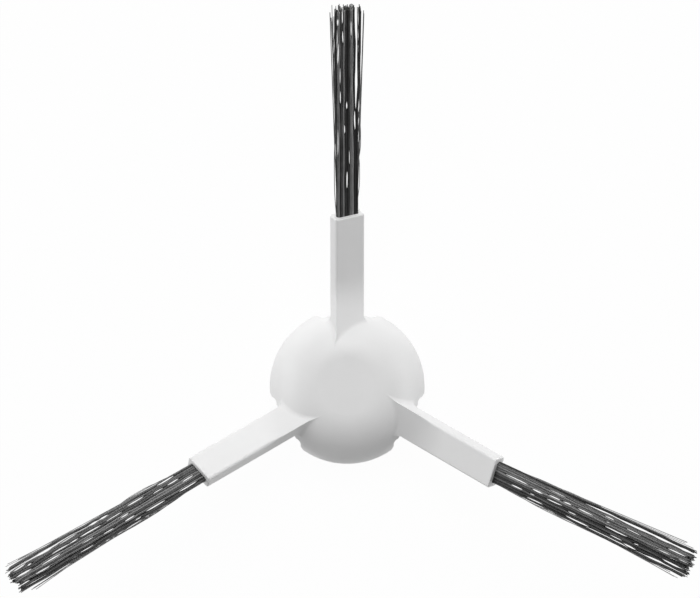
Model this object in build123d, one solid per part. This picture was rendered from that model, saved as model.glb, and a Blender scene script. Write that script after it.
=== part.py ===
from build123d import *
import os
from math import cos, radians, sin, sqrt, tan
from random import Random

# Side brush of a robot vacuum cleaner, in millimetres and degrees. +Z is the axis that the brush turns
# about, from the drive socket up to the crown of the hub. The origin lies on that axis, in the plane of
# the hub's rim. The first arm points along +Y and the others follow at equal angles.

# Hub: a thin round shell with a flat crown, a large rounding and a straight skirt. Behind each arm it has a flat
# with an upright relief groove on both sides of the arm
HUB_RADIUS = 16.5
HUB_HEIGHT = 13.5
CROWN_ROUNDING = 10.3
HUB_WALL = 1.6
FLAT_CUT = 1.6
RELIEF_RADIUS = 1.5
RELIEF_DEPTH = 0.33
RELIEF_GAP = 0.1
CORE_CONES = 3

# Drive socket under the hub: a boss with a round pilot at its mouth and a blind square socket beyond
SOCKET_ACROSS = 6.0
SOCKET_CORNER = 0.5
SOCKET_DEPTH = 7.0
PILOT_DEPTH = 2.5
PILOT_LIP = 0.4
BOSS_WALL = 1.9
RIB_COUNT = 6
RIB_THICKNESS = 1.2
RIB_RECESS = 1.5

# Arms: rectangular sleeves rolled about their own axis, level at the hub and bent upwards. The bend starts
# clear of the root's blend, and the reach to the mouth is from the hub's flat
ARM_COUNT = 3
FIRST_ARM = 90.0
ARM_WIDTH = 6.5
ARM_THICKNESS = 2.75
ARM_ROLL = 27.0
ARM_DROP = 3.3
ARM_RISE = 29.0
BEND_RADIUS = 16.0
ARM_REACH = 21.1
ROOT_FILLET = 1.2
ROOT_CLEARANCE = 0.1

# Pocket in the end of each arm, with cut corners
POCKET_WALL = 0.75
POCKET_DEPTH = 11.0
POCKET_CORNER = 0.35

# Tufts: filaments potted together in the pocket, which fan out of the mouth. One lean for each arm
TUFT_LENGTH = 49.3
TUFT_LEANS = (0.0, 0.0, 4.2)
TUFT_CLEARANCE = 0.05
ROOT_RECESS = 1.0
FILAMENT_DIAMETER = 0.28
FILAMENT_SIDES = 4
FILAMENT_GAP = 0.07
FAN_WIDE = 0.9
FAN_THICK = 0.9
TIP_RAGGED = 1.5
STRAY = 0.4  # of the angle between neighbours, under a half so that filaments never cross

# Sizes that follow
FLAT_DISTANCE = HUB_RADIUS - FLAT_CUT
BEND_START = FLAT_DISTANCE + ROOT_FILLET + ROOT_CLEARANCE
MOUTH_REACH = FLAT_DISTANCE + ARM_REACH
PILOT_RADIUS = SOCKET_ACROSS / sqrt(2) + PILOT_LIP
BOSS_RADIUS = PILOT_RADIUS + BOSS_WALL
POCKET_WIDTH = ARM_WIDTH - 2 * POCKET_WALL
POCKET_THICKNESS = ARM_THICKNESS - 2 * POCKET_WALL
STANDING = (Align.CENTER, Align.CENTER, Align.MIN)


def arm_turns():
    """Rotations that carry something made along +X to each arm."""
    return [Rot(Z=FIRST_ARM + number * 360 / ARM_COUNT) for number in range(ARM_COUNT)]


def flat_cuts(inset):
    """Blocks that cut the flats behind the arms, inset deeper than the outer ones."""
    block = Pos(X=FLAT_DISTANCE - inset) * Box(
        HUB_RADIUS, 2 * HUB_RADIUS, 2 * HUB_HEIGHT, align=(Align.MIN, Align.CENTER, Align.CENTER)
    )
    return [turn * block for turn in arm_turns()]


def dome():
    """Outer form of the hub: flat crown, large rounding, straight skirt and the flats."""
    form = Cylinder(HUB_RADIUS, HUB_HEIGHT, align=STANDING)
    form = fillet(form.edges().group_by(Axis.Z)[-1], CROWN_ROUNDING)
    return form - flat_cuts(0)


def core(inset):
    """Turned form of cones inside the dome, whose edges lie inset below its skin."""
    crown_radius = HUB_RADIUS - CROWN_ROUNDING
    skirt_height = HUB_HEIGHT - CROWN_ROUNDING
    rounding = CROWN_ROUNDING - inset
    angles = [radians(90 * step / CORE_CONES) for step in range(CORE_CONES + 1)]
    edges = [(crown_radius + rounding * sin(angle), skirt_height + rounding * cos(angle)) for angle in angles]
    outline = Polyline((0, 0), (0, HUB_HEIGHT - inset), *edges, (HUB_RADIUS - inset, 0), close=True)
    return revolve(Plane.XZ * make_face(outline), Axis.Z) - flat_cuts(inset)


def reliefs():
    """Upright cylinders that cut the grooves beside the arms."""
    arm_half = (ARM_WIDTH * cos(radians(ARM_ROLL)) + ARM_THICKNESS * sin(radians(ARM_ROLL))) / 2
    aside = arm_half + RELIEF_GAP + RELIEF_RADIUS
    cutter = Cylinder(RELIEF_RADIUS, 3 * HUB_HEIGHT)
    pair = [Pos(FLAT_DISTANCE - RELIEF_DEPTH + RELIEF_RADIUS, way * aside) * cutter for way in (-1, 1)]
    return [turn * one for turn in arm_turns() for one in pair]


def arm_path():
    """Centre line of an arm along +X: level out of the hub, bent upwards, then straight to the mouth."""
    level = HUB_HEIGHT - ARM_DROP
    root = Line((0, level), (BEND_START, level))
    bend = JernArc(root @ 1, root % 1, BEND_RADIUS, ARM_RISE)
    bend_end = bend @ 1
    mouth_level = bend_end.Y + (MOUTH_REACH - bend_end.X) * tan(radians(ARM_RISE))
    run = Line(bend_end, (MOUTH_REACH, mouth_level))
    return Plane.XZ * Wire([root, bend, run])


def arm_place(position):
    """Place across the arm at one end of its path, with X along the wide faces and Z outwards."""
    path = arm_path()
    return Plane(path @ position, x_dir=(0, 1, 0), z_dir=path % position) * Rot(Z=ARM_ROLL)


def pocket_form(inset, depth):
    """Slot with cut corners that goes down from the XY plane, inset from the walls of the pocket."""
    across = Rectangle(POCKET_WIDTH - 2 * inset, POCKET_THICKNESS - 2 * inset)
    return extrude(chamfer(across.vertices(), POCKET_CORNER), -depth)


def underside():
    """Boss of the drive socket and the ribs that tie it to the skirt, up to the middle of the hub's wall."""
    boss = Cylinder(BOSS_RADIUS, HUB_HEIGHT, align=STANDING)
    rib = Pos(Z=RIB_RECESS) * Box(
        HUB_RADIUS, RIB_THICKNESS, HUB_HEIGHT, align=(Align.MIN, Align.CENTER, Align.MIN)
    )
    ribs = [Rot(Z=FIRST_ARM + number * 360 / RIB_COUNT) * rib for number in range(RIB_COUNT)]
    return (boss + ribs) & core(HUB_WALL / 2)


def drive_socket():
    """Space for the drive post: a round pilot and a blind square with rounded corners."""
    pilot = Cylinder(PILOT_RADIUS, PILOT_DEPTH, align=STANDING)
    square = RectangleRounded(SOCKET_ACROSS, SOCKET_ACROSS, SOCKET_CORNER)
    return pilot + extrude(square, PILOT_DEPTH + SOCKET_DEPTH)


def hub():
    """Hub and arms as one moulding: a shell, its arms with their pockets, and the drive socket."""
    arm = sweep(arm_place(0) * Rectangle(ARM_WIDTH, ARM_THICKNESS), path=arm_path())
    arms = [turn * arm for turn in arm_turns()]
    outside = dome()
    body = outside + arms
    body = fillet(new_edges(outside, *arms, combined=body), ROOT_FILLET)
    pocket = arm_place(1) * pocket_form(0, POCKET_DEPTH)
    body = body - [turn * pocket for turn in arm_turns()]
    body = body - reliefs() - core(HUB_WALL)
    return body + underside() - drive_socket()


def tuft(lean, scatter):
    """Tuft of the arm along +X: a potted root in the pocket, and filaments that fan out of its face."""
    root_length = POCKET_DEPTH - ROOT_RECESS - TUFT_CLEARANCE
    root = pocket_form(TUFT_CLEARANCE, root_length)
    pitch = FILAMENT_DIAMETER + FILAMENT_GAP
    columns = int((POCKET_WIDTH - 2 * TUFT_CLEARANCE - FILAMENT_GAP) / pitch)
    rows = int((POCKET_THICKNESS - 2 * TUFT_CLEARANCE - FILAMENT_GAP) / pitch)
    filaments = []
    for column in range(columns):
        for row in range(rows):
            across = column - (columns - 1) / 2
            through = row - (rows - 1) / 2
            foot = Pos(across * pitch, through * pitch) * RegularPolygon(FILAMENT_DIAMETER / 2, FILAMENT_SIDES)
            swing = lean + (across + scatter.uniform(-STRAY, STRAY)) * 2 * FAN_WIDE / columns
            lift = (through + scatter.uniform(-STRAY, STRAY)) * 2 * FAN_THICK / rows
            heading = Vector(tan(radians(swing)), tan(radians(lift)), 1)
            length = ROOT_RECESS + TUFT_LENGTH - scatter.uniform(0, TIP_RAGGED)
            filaments.append(extrude(foot, length, dir=heading.normalized()))
    return arm_place(1) * Pos(Z=-ROOT_RECESS) * (root + filaments)


os.makedirs("parts", exist_ok=True)
export_step(hub(), "parts/brush_hub.step")
for number, (turn, lean) in enumerate(zip(arm_turns(), TUFT_LEANS), start=1):
    export_step(turn * tuft(lean, Random(number)), f"parts/bristle_tuft_{number}.step")
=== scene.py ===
import bmesh
import bpy
from math import atan2, cos, exp, pi, radians, sin, tan
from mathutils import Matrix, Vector
from random import Random


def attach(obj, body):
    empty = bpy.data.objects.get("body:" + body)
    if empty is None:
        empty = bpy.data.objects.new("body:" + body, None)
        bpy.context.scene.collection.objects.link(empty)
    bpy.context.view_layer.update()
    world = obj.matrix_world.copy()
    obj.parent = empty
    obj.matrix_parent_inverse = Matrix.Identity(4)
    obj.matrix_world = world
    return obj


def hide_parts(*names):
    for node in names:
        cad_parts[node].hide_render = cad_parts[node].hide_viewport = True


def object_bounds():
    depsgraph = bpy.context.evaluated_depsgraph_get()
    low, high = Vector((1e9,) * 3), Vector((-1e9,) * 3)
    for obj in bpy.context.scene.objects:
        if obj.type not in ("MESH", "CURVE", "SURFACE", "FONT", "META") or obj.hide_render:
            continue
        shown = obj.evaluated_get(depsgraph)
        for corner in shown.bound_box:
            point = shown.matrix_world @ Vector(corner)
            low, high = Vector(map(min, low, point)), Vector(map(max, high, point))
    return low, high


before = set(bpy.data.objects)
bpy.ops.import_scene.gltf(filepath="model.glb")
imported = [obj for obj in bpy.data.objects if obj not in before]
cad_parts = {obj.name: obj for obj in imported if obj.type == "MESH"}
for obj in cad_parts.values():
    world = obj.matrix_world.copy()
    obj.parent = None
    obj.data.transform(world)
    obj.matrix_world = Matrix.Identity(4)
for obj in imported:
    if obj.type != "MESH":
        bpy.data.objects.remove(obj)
cad_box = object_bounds()


# Hub and arms: one moulding of white plastic, a domed hub with three bent, hollow arms. It is the packed
# solid, whose arms get a new skin here, because the mould rounds their long edges and mouths. The satin
# surface has a fine grain and a faint waviness.

ARM_TURNS = (90, 210, 330)
ARM_WIDTH = 0.0065
ARM_THICKNESS = 0.00275
ARM_ROLL = radians(27)
ARM_RISE = radians(29)
ARM_LEVEL = 0.0102
ARM_CORNERS = ((1, 1), (-1, 1), (-1, -1), (1, -1))
BEND_START = 0.0162
BEND_RADIUS = 0.016
BEND_STEPS = 20
MOUTH_REACH = 0.036
POCKET_START = 0.0254
POCKET_WIDTH = 0.005
POCKET_THICKNESS = 0.00125
EDGE_ROUNDING = 0.0006
EDGE_OUTSET = 0.00018
ROUNDED_FROM = 0.55
RIM_ROUNDING = 0.00025
ROUNDING_STEPS = 6
NEAR = 0.00001
UP = Vector((0, 0, 1))
NOISE_RANGE = (0.3, 0.7)
GLOSS_FINENESS = 3
PLASTIC_LIGHT = (0.83, 0.83, 0.83, 1)
PLASTIC_DARK = (0.80, 0.80, 0.80, 1)
PLASTIC_MOTTLES = 90
PLASTIC_ROUGHNESS = (0.40, 0.50)
GRAIN_FINENESS = 8000
GRAIN_HEIGHT = 0.000007
WAVE_FINENESS = 140
WAVE_HEIGHT = 0.00001
RELIEF_STRENGTH = 0.5


def noise(tree, place, scale, detail):
    """Noise texture in a node tree, in features per metre."""
    node = tree.nodes.new("ShaderNodeTexNoise")
    node.inputs["Scale"].default_value = scale
    node.inputs["Detail"].default_value = detail
    tree.links.new(place, node.inputs["Vector"])
    return node


def spread(tree, value, low, high):
    """Noise value carried from its usual middle range to low and high."""
    node = tree.nodes.new("ShaderNodeMapRange")
    node.inputs["From Min"].default_value = NOISE_RANGE[0]
    node.inputs["From Max"].default_value = NOISE_RANGE[1]
    node.inputs["To Min"].default_value = low
    node.inputs["To Max"].default_value = high
    tree.links.new(value, node.inputs["Value"])
    return node.outputs["Result"]


def between(tree, value, low, high):
    """Value from 0 to 1 carried to low and high."""
    node = tree.nodes.new("ShaderNodeMapRange")
    node.inputs["To Min"].default_value = low
    node.inputs["To Max"].default_value = high
    tree.links.new(value, node.inputs["Value"])
    return node.outputs["Result"]


def mottling_group():
    """Node group with broad patches of tone and finer patches of gloss, both from 0 to 1."""
    group = bpy.data.node_groups.new("mottling", "ShaderNodeTree")
    group.interface.new_socket("Fineness", in_out="INPUT", socket_type="NodeSocketFloat")
    group.interface.new_socket("Tone", in_out="OUTPUT", socket_type="NodeSocketFloat")
    group.interface.new_socket("Gloss", in_out="OUTPUT", socket_type="NodeSocketFloat")
    entry = group.nodes.new("NodeGroupInput")
    result = group.nodes.new("NodeGroupOutput")
    place = group.nodes.new("ShaderNodeTexCoord").outputs["Object"]
    patches = noise(group, place, scale=1, detail=3)
    group.links.new(entry.outputs["Fineness"], patches.inputs["Scale"])
    group.links.new(spread(group, patches.outputs["Fac"], 0, 1), result.inputs["Tone"])
    finer = group.nodes.new("ShaderNodeMath")
    finer.operation = "MULTIPLY"
    finer.inputs[1].default_value = GLOSS_FINENESS
    group.links.new(entry.outputs["Fineness"], finer.inputs[0])
    flecks = noise(group, place, scale=1, detail=4)
    group.links.new(finer.outputs["Value"], flecks.inputs["Scale"])
    group.links.new(spread(group, flecks.outputs["Fac"], 0, 1), result.inputs["Gloss"])
    return group


def mottles(tree, fineness):
    """Mottling in a material, as its node."""
    node = tree.nodes.new("ShaderNodeGroup")
    node.node_tree = mottling
    node.inputs["Fineness"].default_value = fineness
    return node


def arm_axes(turn, rise):
    """Directions of an arm: outwards, along its wide faces and across them."""
    radial = Vector((cos(turn), sin(turn), 0))
    side = UP.cross(radial)
    outward = cos(rise) * radial + sin(rise) * UP
    normal = outward.cross(side)
    wide = cos(ARM_ROLL) * side + sin(ARM_ROLL) * normal
    thick = cos(ARM_ROLL) * normal - sin(ARM_ROLL) * side
    return outward, wide, thick


def arm_centre(turn, rise, along):
    """Point on the middle line of an arm, along past the place where its bend reaches the rise."""
    radial = Vector((cos(turn), sin(turn), 0))
    reach = BEND_START + BEND_RADIUS * sin(rise)
    level = ARM_LEVEL + BEND_RADIUS * (1 - cos(rise))
    return reach * radial + level * UP + along * arm_axes(turn, rise)[0]


def strip_arm(form, turn, mouth_along):
    """Takes the outer faces of an arm off, from the start of its bend to the rim of its pocket."""
    radial = Vector((cos(turn), sin(turn), 0))
    wide, thick = arm_axes(turn, ARM_RISE)[1:]
    mouth = arm_centre(turn, ARM_RISE, mouth_along)
    outer = []
    for face in form.faces:
        in_pocket = [
            corner.co.dot(radial) > POCKET_START
            and abs((corner.co - mouth).dot(wide)) < POCKET_WIDTH / 2 + NEAR
            and abs((corner.co - mouth).dot(thick)) < POCKET_THICKNESS / 2 + NEAR
            for corner in face.verts
        ]
        innermost = min(corner.co.dot(radial) for corner in face.verts)
        if innermost > BEND_START - NEAR and not all(in_pocket):
            outer.append(face)
    bmesh.ops.delete(form, geom=outer, context="FACES")


def root_corners(form, turn):
    """Corners of an arm that are left where its bend starts."""
    wide, thick = arm_axes(turn, 0)[1:]
    corners = []
    for u, v in ARM_CORNERS:
        place = arm_centre(turn, 0, 0) + u * ARM_WIDTH / 2 * wide + v * ARM_THICKNESS / 2 * thick
        corners.append(min(form.verts, key=lambda corner: (corner.co - place).length))
    return corners


def arm_ring(form, turn, rise, along, rounding, inset, tilt):
    """Ring of new vertices round an arm, inset from its faces, with rounded corners, and their normals."""
    outward, wide, thick = arm_axes(turn, rise)
    centre = arm_centre(turn, rise, along)
    ring = {}
    for number, (u, v) in enumerate(ARM_CORNERS):
        for step in range(ROUNDING_STEPS + 1):
            angle = (number + step / ROUNDING_STEPS) * pi / 2
            across = u * (ARM_WIDTH / 2 - inset - rounding) + rounding * cos(angle)
            through = v * (ARM_THICKNESS / 2 - inset - rounding) + rounding * sin(angle)
            vertex = form.verts.new(centre + across * wide + through * thick)
            ring[vertex] = cos(tilt) * (cos(angle) * wide + sin(angle) * thick) + sin(tilt) * outward
    return ring


def arm_rings(form, turn, mouth_along):
    """Rings along the bend, where the rounding grows, and round the rim of the mouth."""
    rings = []
    for step in range(1, BEND_STEPS + 1):
        rise = ARM_RISE * step / BEND_STEPS
        grown = min(1, step / BEND_STEPS / ROUNDED_FROM)
        rings.append(arm_ring(form, turn, rise, 0, grown * EDGE_ROUNDING, -grown * EDGE_OUTSET, 0))
    for step in range(ROUNDING_STEPS + 1):
        tilt = step / ROUNDING_STEPS * pi / 2
        inset = RIM_ROUNDING * (1 - cos(tilt))
        along = mouth_along - RIM_ROUNDING * (1 - sin(tilt))
        rounding = EDGE_ROUNDING - inset
        rings.append(arm_ring(form, turn, ARM_RISE, along, rounding, inset - EDGE_OUTSET, tilt))
    return rings


def skin_faces(form, root, rings):
    """New faces from the four corners of the root to the first ring, and from ring to ring."""
    faces = []
    first = list(rings[0])
    for number, corner in enumerate(root):
        start = number * (ROUNDING_STEPS + 1)
        last = start + ROUNDING_STEPS
        for step in range(start, last):
            faces.append(form.faces.new((corner, first[step], first[step + 1])))
        next_corner = root[(number + 1) % len(root)]
        following = first[(last + 1) % len(first)]
        faces.append(form.faces.new((corner, first[last], following, next_corner)))
    for ring, next_ring in zip(map(list, rings), map(list, rings[1:])):
        for number in range(len(ring)):
            following = (number + 1) % len(ring)
            corners = (ring[number], next_ring[number], next_ring[following], ring[following])
            faces.append(form.faces.new(corners))
    return faces


def skin_arm(form, turn):
    """Gives an arm a skin with long edges rounded from its root on, and with a rounded rim at its mouth."""
    mouth_along = (MOUTH_REACH - BEND_START - BEND_RADIUS * sin(ARM_RISE)) / cos(ARM_RISE)
    strip_arm(form, turn, mouth_along)
    root = root_corners(form, turn)
    rings = arm_rings(form, turn, mouth_along)
    normals = {vertex: normal for ring in rings for vertex, normal in ring.items()}
    shading = form.loops.layers.float_vector["shading"]
    for face in skin_faces(form, root, rings):
        known = [normals[corner] for corner in face.verts if corner in normals]
        middle = sum(known, Vector()) / len(known)
        for loop in face.loops:
            loop[shading] = normals.get(loop.vert, middle)
    open_edges = [edge for edge in form.edges if len(edge.link_faces) == 1]
    ends = bmesh.ops.triangle_fill(form, edges=open_edges, use_beauty=True)["geom"]
    for end in ends:
        if isinstance(end, bmesh.types.BMFace):
            for loop in end.loops:
                loop[shading] = arm_axes(turn, ARM_RISE)[0]


def hub_mesh():
    """Packed hub in one skin, with the new skins of its arms and the normals of both."""
    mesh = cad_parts["brush_hub"].data.copy()
    mesh.name = "hub_moulding"
    kept_normals = [value for corner in mesh.corner_normals for value in corner.vector]
    mesh.attributes.new("shading", "FLOAT_VECTOR", "CORNER").data.foreach_set("vector", kept_normals)
    form = bmesh.new()
    form.from_mesh(mesh)
    bmesh.ops.remove_doubles(form, verts=form.verts, dist=NEAR / 10)
    for turn in ARM_TURNS:
        skin_arm(form, radians(turn))
    bmesh.ops.recalc_face_normals(form, faces=form.faces)
    form.to_mesh(mesh)
    form.free()
    mesh.attributes.remove(mesh.attributes["custom_normal"])
    mesh.shade_smooth()
    mesh.normals_split_custom_set([corner.vector for corner in mesh.attributes["shading"].data])
    mesh.attributes.remove(mesh.attributes["shading"])
    return mesh


mottling = mottling_group()
white_plastic = bpy.data.materials.new("white_plastic_satin")
white_plastic.use_nodes = True
plastic_tree = white_plastic.node_tree
plastic_shader = plastic_tree.nodes["Principled BSDF"]
plastic_mottles = mottles(plastic_tree, PLASTIC_MOTTLES)
plastic_tint = plastic_tree.nodes.new("ShaderNodeMix")
plastic_tint.data_type = "RGBA"
plastic_tint.inputs["A"].default_value = PLASTIC_DARK
plastic_tint.inputs["B"].default_value = PLASTIC_LIGHT
plastic_tree.links.new(plastic_mottles.outputs["Tone"], plastic_tint.inputs["Factor"])
plastic_tree.links.new(plastic_tint.outputs["Result"], plastic_shader.inputs["Base Color"])
plastic_gloss = between(plastic_tree, plastic_mottles.outputs["Gloss"], *PLASTIC_ROUGHNESS)
plastic_tree.links.new(plastic_gloss, plastic_shader.inputs["Roughness"])
plastic_place = plastic_tree.nodes.new("ShaderNodeTexCoord").outputs["Object"]
grain = noise(plastic_tree, plastic_place, GRAIN_FINENESS, detail=2).outputs["Fac"]
waves = noise(plastic_tree, plastic_place, WAVE_FINENESS, detail=1).outputs["Fac"]
relief = plastic_tree.nodes.new("ShaderNodeMath")
relief.operation = "ADD"
plastic_tree.links.new(spread(plastic_tree, grain, -GRAIN_HEIGHT, GRAIN_HEIGHT), relief.inputs[0])
plastic_tree.links.new(spread(plastic_tree, waves, -WAVE_HEIGHT, WAVE_HEIGHT), relief.inputs[1])
plastic_bump = plastic_tree.nodes.new("ShaderNodeBump")
plastic_bump.inputs["Strength"].default_value = RELIEF_STRENGTH
plastic_bump.inputs["Distance"].default_value = 1.0
plastic_tree.links.new(relief.outputs["Value"], plastic_bump.inputs["Height"])
plastic_tree.links.new(plastic_bump.outputs["Normal"], plastic_shader.inputs["Normal"])

hub_moulding = bpy.data.objects.new("hub_moulding", hub_mesh())
bpy.context.scene.collection.objects.link(hub_moulding)
hub_moulding.data.materials[0] = white_plastic
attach(hub_moulding, "root")
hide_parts("brush_hub")


# Bristle tufts: dark nylon filaments, fused at the root into a block that is pressed into the pocket of
# each arm. They gather in locks of seven, with slits between the locks. The ends are ragged, one lock at
# each edge splays, and a few filaments stray or bow out.

# Each tuft has its own lean, trim and fan, and its edge locks splay beyond the split. A placed slit is
# given by its line, counted in locks from the middle of the tuft, its middle along it and half its length.
# A tuft's shade is painted shade: it darkens all its filaments for how the light falls on that tuft.
TUFTS = (
    {
        "turn": 90,
        "lean": radians(0.2),
        "trim": 0.0014,
        "fan": 0.9,
        "split": 0.47,
        "splay": (0.0006, 0.0002),
        "placed_slits": ((0, 0.0091, 0.0021), (-3.4, 0.0225, 0.0024)),
        "slits": 11,
        "edge_slits": 5,
        "shade": -0.17,
    },
    {
        "turn": 210,
        "lean": radians(0.6),
        "trim": 0.0003,
        "fan": 0.97,
        "split": 0.45,
        "splay": (0.0005, 0.0003),
        "placed_slits": ((0, 0.0038, 0.0017), (3, 0.0051, 0.0026), (-2, 0.0070, 0.0017)),
        "slits": 70,
        "edge_slits": 6,
        "shade": 0,
    },
    {
        "turn": 330,
        "lean": radians(4.5),
        "trim": -0.0005,
        "fan": 1.08,
        "split": 0.28,
        "splay": (0.0004, 0.0003),
        "placed_slits": ((1, 0.0060, 0.0034), (-2, 0.0068, 0.0016)),
        "slits": 56,
        "edge_slits": 6,
        "shade": -0.06,
    },
)
MOUTH_LEVEL = 0.01888
ROOT_WIDTH = 0.0049
ROOT_THICKNESS = 0.00115
ROOT_LENGTH = 0.00995
ROOT_CORNER = 0.00035
ROOT_RECESS = 0.001
ROOT_TONE = 0.1
TUFT_LENGTH = 0.0495
FAN_THICK = 1.8
FAN_LATE = 1.5
SPLAY_SHARE = 0.3

FILAMENT_RADIUS = 0.00009
FILAMENT_SIDES = 6
FILAMENT_STEPS = 96
FILAMENT_SWAY = 0.00003
FILAMENT_TRIM = 0.0009
FILAMENT_TRIM_SHARES = (0.2, 1)
FILAMENT_TONE = 0.2
SWAY_WAVES = (0.008, 0.016)
SWAY_AT_ROOT = 0.3

LOCKS_IN_LAYER = 9
LOCK_FILAMENTS = 7
LOCK_SPACING = 1.95 * FILAMENT_RADIUS
LOCK_PITCH = 0.00054
LOCK_OFFSET = 0.00004
LOCK_ASKEW = radians(0.12)
LOCK_LOOSENING = 0.2
LOCK_SWAY = 0.00005
LOCK_TRIM = 0.001
LOCK_TONES = (0.1, 0.25, 0.4, 0.75, 1.0)
# Painted shade between the locks: how much darker the filaments that face into the tuft are made.
INNER_SHADE = 0.55

PLACED_SLIT_HALF_WIDTH = 0.00018
SLIT_HALF_WIDTHS = (0.00013, 0.0002)
SLIT_HALF_LENGTHS = (0.0007, 0.003)
EDGE_SLIT_HALF_LENGTHS = (0.002, 0.005)
SLIT_PLACES = (0.03, 0.98)
SLIT_LATE = 0.6
SLIT_OFFSET = 0.15
SLIT_FADE = 0.0003
SLIT_ROOM = 0.0008
SLIT_EASE = 1.25

EDGE_ACROSS = 0.47
EDGE_THROUGH = 0.35
EDGE_TONES = (0.2, 0.8)
STRAY_COUNT = 8
STRAY_STARTS = (0.1, 0.6)
STRAY_SHARES = (0.4, 1)
STRAY_REACH = 0.0016
STRAY_TRIM = 0.004
STRAY_THINNEST = 0.6
LOOSE_COUNT = 12
LOOSE_MIDDLES = (0.15, 0.85)
LOOSE_HALF_LENGTHS = (0.006, 0.014)
LOOSE_SHARES = (0.4, 1)
LOOSE_REACH = 0.0006
LOOSE_TRIM = 0.003
LOOSE_THINNEST = 0.7

# The pale end of the bristle tones is partly the nylon's own paler strands and partly painted sheen along
# the strands.
BRISTLE_DARK = (0.024, 0.024, 0.024, 1)
BRISTLE_PALE_AND_SHEEN = (0.36, 0.36, 0.36, 1)
BRISTLE_MOTTLES = 400
BRISTLE_PATCHES = 0.08
BRISTLE_ROUGHNESS = (0.32, 0.46)


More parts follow.
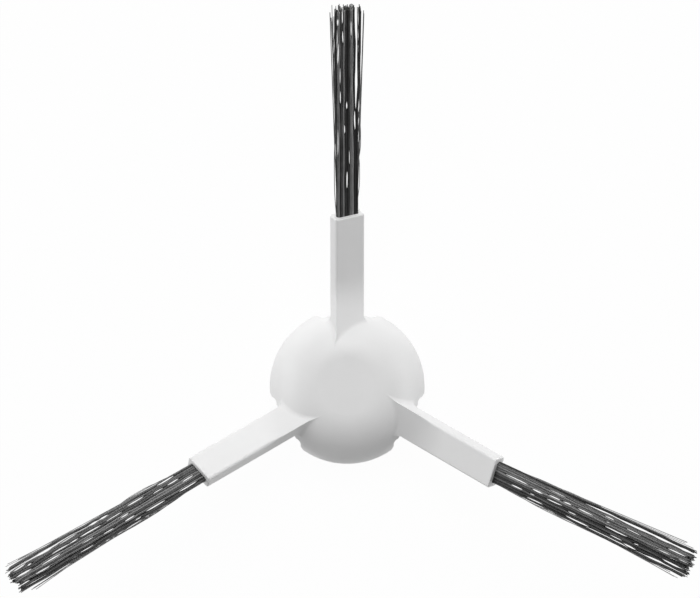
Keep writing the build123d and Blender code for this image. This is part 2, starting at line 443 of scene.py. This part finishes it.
class Tuft:
    """Root block and filaments of one tuft, as vertices, faces and a tone for each vertex."""

    def __init__(self, number, look):
        self.look = look
        self.scatter = Random(number)
        self.vertices = []
        self.faces = []
        self.tones = []
        turn = radians(look["turn"])
        radial = Vector((cos(turn), sin(turn), 0))
        self.mouth = MOUTH_REACH * radial + MOUTH_LEVEL * UP
        self.outward, self.wide, self.thick = arm_axes(turn, ARM_RISE)
        self.side = UP.cross(radial)
        self.normal = self.outward.cross(self.side)
        self.add_root()
        self.slits = self.find_slits()
        for layer, depth in enumerate((ROOT_THICKNESS / 4, -ROOT_THICKNESS / 4)):
            for place in range(LOCKS_IN_LAYER):
                self.add_lock(layer, depth, place)
        self.add_strays()
        self.add_loose()

    def add_root(self):
        """Fused block with cut corners in the bottom of the pocket."""
        half_width = ROOT_WIDTH / 2
        half_thickness = ROOT_THICKNESS / 2
        outline = []
        for u, v in ARM_CORNERS:
            along_side = (u * half_width, v * (half_thickness - ROOT_CORNER))
            along_top = (u * (half_width - ROOT_CORNER), v * half_thickness)
            outline += [along_side, along_top] if u == v else [along_top, along_side]
        for depth in (ROOT_RECESS, ROOT_RECESS + ROOT_LENGTH):
            for u, v in outline:
                self.vertices.append(self.mouth + u * self.wide + v * self.thick - depth * self.outward)
                self.tones.append(ROOT_TONE)
        count = len(outline)
        self.faces.append(tuple(range(count)))
        self.faces.append(tuple(range(2 * count - 1, count - 1, -1)))
        for corner in range(count):
            following = (corner + 1) % count
            self.faces.append((following, corner, count + corner, count + following))

    def add_filament(self, points, radius, tone):
        """Filament of even thickness through the points, with flat cut ends."""
        first = len(self.vertices)
        for point in points:
            for corner in range(FILAMENT_SIDES):
                angle = 2 * pi * corner / FILAMENT_SIDES
                self.vertices.append(point + radius * (cos(angle) * self.side + sin(angle) * self.normal))
                self.tones.append(tone)
        last = first + (len(points) - 1) * FILAMENT_SIDES
        for start in range(first, last, FILAMENT_SIDES):
            for corner in range(FILAMENT_SIDES):
                low = start + corner
                low_next = start + (corner + 1) % FILAMENT_SIDES
                self.faces.append((low, low_next, low_next + FILAMENT_SIDES, low + FILAMENT_SIDES))
        self.faces.append(tuple(range(first + FILAMENT_SIDES - 1, first - 1, -1)))
        self.faces.append(tuple(range(last, last + FILAMENT_SIDES)))

    def across_at(self, u, along):
        """Place along the wide side of the mouth of a filament that leaves the root at u."""
        return u * (1 + (self.look["fan"] - 1) * (along / TUFT_LENGTH) ** FAN_LATE)

    def through_at(self, v, along):
        """Place along the narrow side of the mouth of a filament that leaves the root at v."""
        return v * (1 + (FAN_THICK - 1) * along / TUFT_LENGTH)

    def sway(self, size):
        """Sway that grows along the tuft, as a function of the distance from the root."""
        phase = self.scatter.uniform(0, 2 * pi)
        wave = self.scatter.uniform(*SWAY_WAVES)

        def sway_at(along):
            """Way sideways at a distance from the root."""
            grown = SWAY_AT_ROOT + (1 - SWAY_AT_ROOT) * along / TUFT_LENGTH
            return size * grown * sin(2 * pi * along / wave + phase)

        return sway_at

    def find_slits(self):
        """Slits, each as its middle along the tuft, its place across, its half length and half width."""
        scatter = self.scatter
        outer_line = (LOCKS_IN_LAYER - 1) / 2
        slits = []
        for line, middle, half_length in self.look["placed_slits"]:
            place = self.across_at(line * LOCK_PITCH, middle) * cos(ARM_ROLL)
            slits.append((middle, place, half_length, PLACED_SLIT_HALF_WIDTH))
        for number in range(self.look["slits"] + self.look["edge_slits"]):
            if number < self.look["slits"]:
                line = scatter.randrange(LOCKS_IN_LAYER) - outer_line
                half_length = scatter.uniform(*SLIT_HALF_LENGTHS)
            else:
                line = scatter.choice((-1, 1)) * outer_line
                half_length = scatter.uniform(*EDGE_SLIT_HALF_LENGTHS)
            middle = TUFT_LENGTH * scatter.uniform(*SLIT_PLACES) ** SLIT_LATE
            line += scatter.uniform(-SLIT_OFFSET, SLIT_OFFSET)
            place = self.across_at(line * LOCK_PITCH, middle) * cos(ARM_ROLL)
            half_width = scatter.uniform(*SLIT_HALF_WIDTHS)
            near = any(
                abs(other_middle - middle) < other_half_length + half_length
                and abs(other_place - place) < SLIT_ROOM
                for other_middle, other_place, other_half_length, _ in slits
            )
            if not near:
                slits.append((middle, place, half_length, half_width))
        return slits

    def points_from(self, u, v, length, shift):
        """Points of a filament that leaves the root at u and v, pushed aside where it passes a slit."""
        pushes = []
        for middle, place, half_length, half_width in self.slits:
            across = self.across_at(u, middle) * cos(ARM_ROLL) - self.through_at(v, middle) * sin(ARM_ROLL)
            away = across + shift(middle) - place
            push = half_width * exp(-abs(away) / SLIT_FADE)
            pushes.append((middle, half_length, push if away > 0 else -push))
        points = []
        for step in range(FILAMENT_STEPS + 1):
            along = length * step / FILAMENT_STEPS
            aside = shift(along)
            for middle, half_length, push in pushes:
                reach = (along - middle) / (SLIT_EASE * half_length)
                if abs(reach) < 1:
                    aside += push * (1 - reach ** 4) ** 2
            across = self.across_at(u, along) + along * tan(self.look["lean"])
            point = self.mouth + across * self.wide + self.through_at(v, along) * self.thick
            points.append(point + aside * self.side + (along - ROOT_RECESS) * self.outward)
        return points

    def add_lock(self, layer, depth, place):
        """Lock of one filament with six round it. One lock at each edge of the tuft splays away."""
        scatter = self.scatter
        u = (place - (LOCKS_IN_LAYER - 1) / 2) * LOCK_PITCH + scatter.uniform(-LOCK_OFFSET, LOCK_OFFSET)
        askew = scatter.gauss(0, LOCK_ASKEW)
        splay = 0
        if (layer, place) == (0, 0):
            splay = -self.look["splay"][0]
        elif (layer, place) == (1, LOCKS_IN_LAYER - 1):
            splay = self.look["splay"][1]
        lock_sway = self.sway(LOCK_SWAY)
        next_filament = 2 * pi / (LOCK_FILAMENTS - 1)
        lock_turn = scatter.uniform(0, next_filament)
        # Painted shade: the tuft's shade darkens its locks for how the light falls on it.
        lock_tone = self.look["shade"] + scatter.choice(LOCK_TONES)
        lock_trim = self.look["trim"] + scatter.uniform(0, LOCK_TRIM)
        for filament in range(LOCK_FILAMENTS):
            ring = LOCK_SPACING if filament else 0
            angle = lock_turn + filament * next_filament
            aside = ring * cos(angle)
            own_sway = self.sway(FILAMENT_SWAY)

            def shift(along):
                """Way sideways from the straight run of the filament."""
                grown = along / TUFT_LENGTH
                loosened = LOCK_LOOSENING * aside * grown
                splayed = splay * min(1, max(0, grown - self.look["split"]) / SPLAY_SHARE)
                return askew * along + (loosened + splayed) + lock_sway(along) + own_sway(along)

            trim = lock_trim + (scatter.uniform(*FILAMENT_TRIM_SHARES) if filament else 0) * FILAMENT_TRIM
            length = ROOT_RECESS + TUFT_LENGTH - trim
            points = self.points_from(u + aside, depth + ring * sin(angle), length, shift)
            tone = lock_tone + scatter.uniform(-FILAMENT_TONE, FILAMENT_TONE)
            # Painted shade: filaments that face into the tuft are darker, standing in for the shade between
            # the locks.
            inwards = -sin(angle) if layer == 0 else sin(angle)
            if filament:
                tone -= INNER_SHADE * (1 + inwards) / 2
            self.add_filament(points, FILAMENT_RADIUS, tone)

    def add_edge_filament(self, edge, most_trim, thinnest, shift):
        """Single filament at one edge of the tuft, trimmed and thinner by chance."""
        length = ROOT_RECESS + TUFT_LENGTH - self.look["trim"] - self.scatter.uniform(0, most_trim)
        u = edge * EDGE_ACROSS * ROOT_WIDTH
        v = -edge * EDGE_THROUGH * ROOT_THICKNESS
        points = self.points_from(u, v, length, shift)
        # Painted shade: the tuft's shade darkens its edge filaments too.
        tone = self.look["shade"] + self.scatter.uniform(*EDGE_TONES)
        self.add_filament(points, self.scatter.uniform(thinnest, 1) * FILAMENT_RADIUS, tone)

    def add_strays(self):
        """Filaments that turn away from both edges of the tuft."""
        for number in range(STRAY_COUNT):
            edge = -1 if number % 2 else 1
            start = self.scatter.uniform(*STRAY_STARTS) * TUFT_LENGTH
            reach = edge * self.scatter.uniform(*STRAY_SHARES) ** 2 * STRAY_REACH

            def flare(along):
                """Way sideways, which grows evenly from the start of the stray part."""
                return reach * max(0, (along - start) / (TUFT_LENGTH - start))

            self.add_edge_filament(edge, STRAY_TRIM, STRAY_THINNEST, flare)

    def add_loose(self):
        """Filaments that bow out of both edges of the tuft and come back."""
        for number in range(LOOSE_COUNT):
            edge = -1 if number % 2 else 1
            middle = self.scatter.uniform(*LOOSE_MIDDLES) * TUFT_LENGTH
            half_length = self.scatter.uniform(*LOOSE_HALF_LENGTHS)
            reach = edge * self.scatter.uniform(*LOOSE_SHARES) * LOOSE_REACH

            def bow(along):
                """Way sideways, with its most in the middle of the bow."""
                share = min(1, abs(along - middle) / half_length)
                return reach * (1 - share ** 3) ** 2

            self.add_edge_filament(edge, LOOSE_TRIM, LOOSE_THINNEST, bow)


bristle_nylon = bpy.data.materials.new("bristle_nylon_dark")
bristle_nylon.use_nodes = True
bristle_tree = bristle_nylon.node_tree
bristle_shader = bristle_tree.nodes["Principled BSDF"]
bristle_mottles = mottles(bristle_tree, BRISTLE_MOTTLES)
bristle_gloss = between(bristle_tree, bristle_mottles.outputs["Gloss"], *BRISTLE_ROUGHNESS)
bristle_tree.links.new(bristle_gloss, bristle_shader.inputs["Roughness"])
filament_tone = bristle_tree.nodes.new("ShaderNodeAttribute")
filament_tone.attribute_name = "tone"
bristle_patches = between(bristle_tree, bristle_mottles.outputs["Tone"], -BRISTLE_PATCHES, BRISTLE_PATCHES)
patchy_tone = bristle_tree.nodes.new("ShaderNodeMath")
patchy_tone.operation = "ADD"
bristle_tree.links.new(filament_tone.outputs["Fac"], patchy_tone.inputs[0])
bristle_tree.links.new(bristle_patches, patchy_tone.inputs[1])
# Tone ramp from dark nylon to pale strands, whose pale end is partly painted sheen.
bristle_ramp = bristle_tree.nodes.new("ShaderNodeValToRGB")
bristle_ramp.color_ramp.elements[0].color = BRISTLE_DARK
bristle_ramp.color_ramp.elements[1].color = BRISTLE_PALE_AND_SHEEN
bristle_tree.links.new(patchy_tone.outputs["Value"], bristle_ramp.inputs["Fac"])
bristle_tree.links.new(bristle_ramp.outputs["Color"], bristle_shader.inputs["Base Color"])

for number, look in enumerate(TUFTS, start=1):
    tuft = Tuft(number, look)
    filaments_mesh = bpy.data.meshes.new(f"filaments_{number}")
    filaments_mesh.from_pydata(tuft.vertices, [], tuft.faces)
    filaments_mesh.attributes.new("tone", "FLOAT", "POINT").data.foreach_set("value", tuft.tones)
    filaments_mesh.shade_smooth()
    filaments_mesh.materials.append(bristle_nylon)
    filaments = bpy.data.objects.new(f"filaments_{number}", filaments_mesh)
    bpy.context.scene.collection.objects.link(filaments)
    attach(filaments, "root")
    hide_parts(f"bristle_tuft_{number}")


# Floor: a plain pale sheet of paper that the brush lies on. To the camera it is almost all paper white, and
# it keeps a trace of shadow.

FLOOR_HALF = 3.0
PAPER_GREY = (0.85, 0.85, 0.85, 1)
PAPER_WHITE = (1, 1, 1, 1)
PAPER_ROUGHNESS = 0.9
PAPER_GLOW = 0.97

floor_corners = [(u * FLOOR_HALF, v * FLOOR_HALF, 0) for u, v in ((-1, -1), (1, -1), (1, 1), (-1, 1))]
floor_mesh = bpy.data.meshes.new("floor")
floor_mesh.from_pydata(floor_corners, [], [(0, 1, 2, 3)])
floor = bpy.data.objects.new("floor", floor_mesh)
bpy.context.scene.collection.objects.link(floor)
floor.location.z = cad_box[0].z

paper = bpy.data.materials.new("floor_paper")
paper.use_nodes = True
paper_nodes = paper.node_tree.nodes
paper_links = paper.node_tree.links
paper_shader = paper_nodes["Principled BSDF"]
paper_shader.inputs["Base Color"].default_value = PAPER_GREY
paper_shader.inputs["Roughness"].default_value = PAPER_ROUGHNESS
glow = paper_nodes.new("ShaderNodeEmission")
glow.inputs["Color"].default_value = PAPER_WHITE
glow.inputs["Strength"].default_value = 1.0
path = paper_nodes.new("ShaderNodeLightPath")
seen = paper_nodes.new("ShaderNodeMath")
seen.operation = "MAXIMUM"
paper_links.new(path.outputs["Is Camera Ray"], seen.inputs[0])
paper_links.new(path.outputs["Is Glossy Ray"], seen.inputs[1])
seen_through = paper_nodes.new("ShaderNodeMath")
seen_through.operation = "MAXIMUM"
paper_links.new(seen.outputs["Value"], seen_through.inputs[0])
paper_links.new(path.outputs["Is Transmission Ray"], seen_through.inputs[1])
glow_share = paper_nodes.new("ShaderNodeMath")
glow_share.operation = "MULTIPLY"
glow_share.inputs[1].default_value = PAPER_GLOW
paper_links.new(seen_through.outputs["Value"], glow_share.inputs[0])
paper_mix = paper_nodes.new("ShaderNodeMixShader")
paper_links.new(glow_share.outputs["Value"], paper_mix.inputs["Fac"])
paper_links.new(paper_shader.outputs["BSDF"], paper_mix.inputs[1])
paper_links.new(glow.outputs["Emission"], paper_mix.inputs[2])
paper_links.new(paper_mix.outputs["Shader"], paper_nodes["Material Output"].inputs["Surface"])
floor_mesh.materials.append(paper)


# Light and camera: a light tent round the brush, of a lamp high at the back, low lamps at the back and both
# sides, and a dim fill. The camera has a long lens and looks down from above the hub.

LAMP_SIZE = 0.9
LAMP_DISTANCE = 1.5
LAMPS = {
    "back_box": (90, 55, 12.4),
    "back_strip": (90, 12, 5.7),
    "left_strip": (180, 12, 8.5),
    "right_strip": (0, 12, 6.2),
}
FILL_COLOUR = (1, 1, 1, 1)
FILL_STRENGTH = 0.23

for name, (azimuth, elevation, power) in LAMPS.items():
    lamp_data = bpy.data.lights.new(name, "AREA")
    lamp_data.shape = "SQUARE"
    lamp_data.size = LAMP_SIZE
    lamp_data.energy = power
    lamp = bpy.data.objects.new(name, lamp_data)
    bpy.context.scene.collection.objects.link(lamp)
    level = cos(radians(elevation))
    way = Vector((cos(radians(azimuth)) * level, sin(radians(azimuth)) * level, sin(radians(elevation))))
    lamp.location = way * LAMP_DISTANCE
    lamp.rotation_euler = way.to_track_quat("Z", "Y").to_euler()

tent = bpy.data.worlds.new("tent")
bpy.context.scene.world = tent
tent.use_nodes = True
tent.node_tree.nodes["Background"].inputs["Color"].default_value = FILL_COLOUR
tent.node_tree.nodes["Background"].inputs["Strength"].default_value = FILL_STRENGTH

PHOTO_WIDTH = 700
FOCAL_PIXELS = 4000
SENSOR_WIDTH = 36
CAMERA_HEIGHT = 0.856
AIM = (0.0006, 0.0187)

camera_data = bpy.data.cameras.new("camera")
camera_data.sensor_width = SENSOR_WIDTH
camera_data.lens = FOCAL_PIXELS * SENSOR_WIDTH / PHOTO_WIDTH
camera = bpy.data.objects.new("camera", camera_data)
bpy.context.scene.collection.objects.link(camera)
camera.location = (0, 0, CAMERA_HEIGHT)
camera.rotation_euler = (atan2(AIM[1], CAMERA_HEIGHT), -atan2(AIM[0], CAMERA_HEIGHT), 0)
bpy.context.scene.camera = camera
bpy.context.scene.view_settings.view_transform = "Standard"
